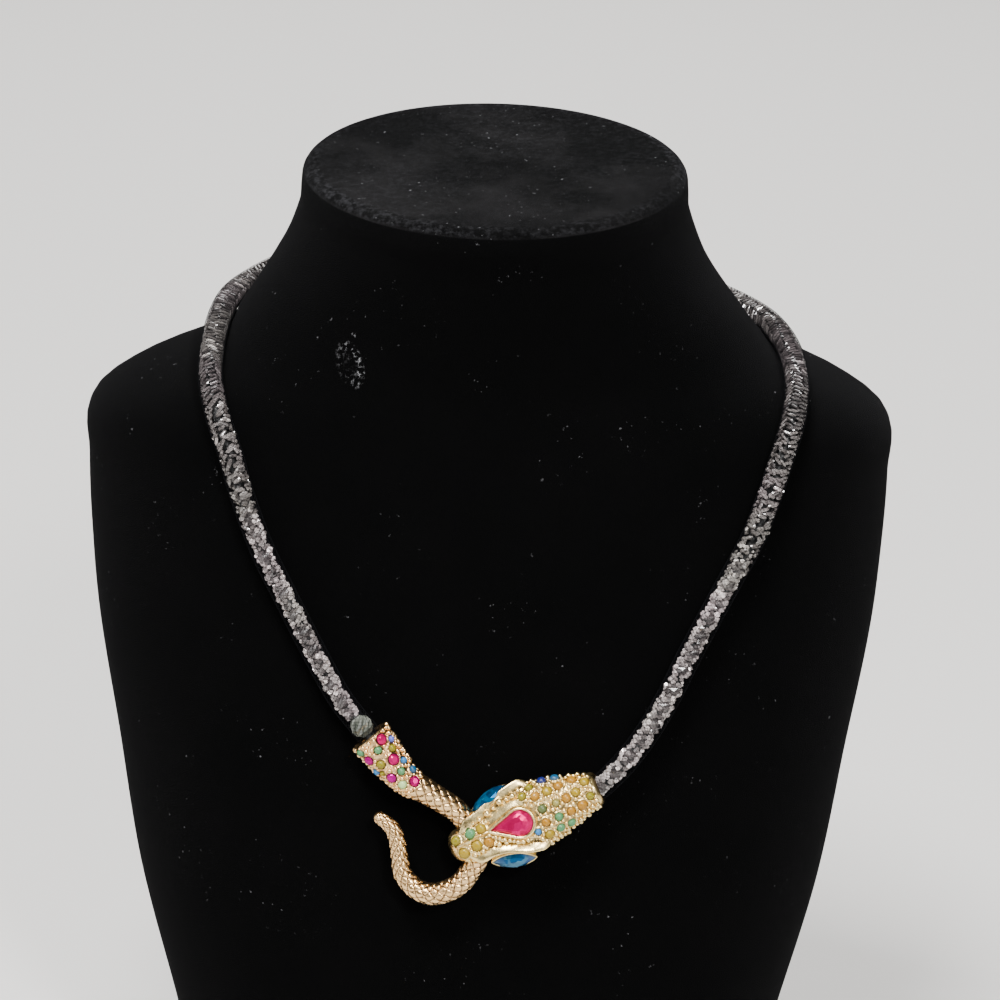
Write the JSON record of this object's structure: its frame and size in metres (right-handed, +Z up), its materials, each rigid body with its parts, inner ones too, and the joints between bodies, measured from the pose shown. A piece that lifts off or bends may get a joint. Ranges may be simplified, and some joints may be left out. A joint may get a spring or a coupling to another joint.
{
  "type": "snake choker on neck bust",
  "caption": "Snake choker on a velvet neck bust: crystal-filled net tube, jewelled cast head with pear stone and eyes, scaled tail hooked through its mouth.",
  "frame": {"origin": "centre of the flat foot of the neck bust", "axes": "+Z up through the neck, -Y out of the chest where the clasp is, +X to the right in the front view"},
  "size_m": [0.196, 0.1092, 0.2627],
  "materials": {
    "neck_bust": "black velvet with short pile",
    "mesh_tube": "black net over clear and grey crystals",
    "head_casting": "pale gilt casting, worn bright on the high parts",
    "tail_hook": "rose gilt casting with scales",
    "forehead_stone": "hot pink, faceted and foiled",
    "eye_upper": "deep blue, faceted and foiled",
    "eye_lower": "deep blue, faceted and foiled",
    "head_cabochons": "opaque domed stones, mostly amber yellow",
    "tail_cabochons": "opaque domed stones, mostly mint green",
    "tail_rhinestones": "pink, faceted and foiled"
  },
  "bodies": {
    "root": {"neck_bust": "neck_bust", "mesh_tube": "mesh_tube", "head_casting": "head_casting", "tail_hook": "tail_hook", "forehead_stone": "forehead_stone", "eye_upper": "eye_upper", "eye_lower": "eye_lower", "head_cabochons": "head_cabochons", "tail_cabochons": "tail_cabochons", "tail_rhinestones": "tail_rhinestones"}
  },
  "joints": []
}
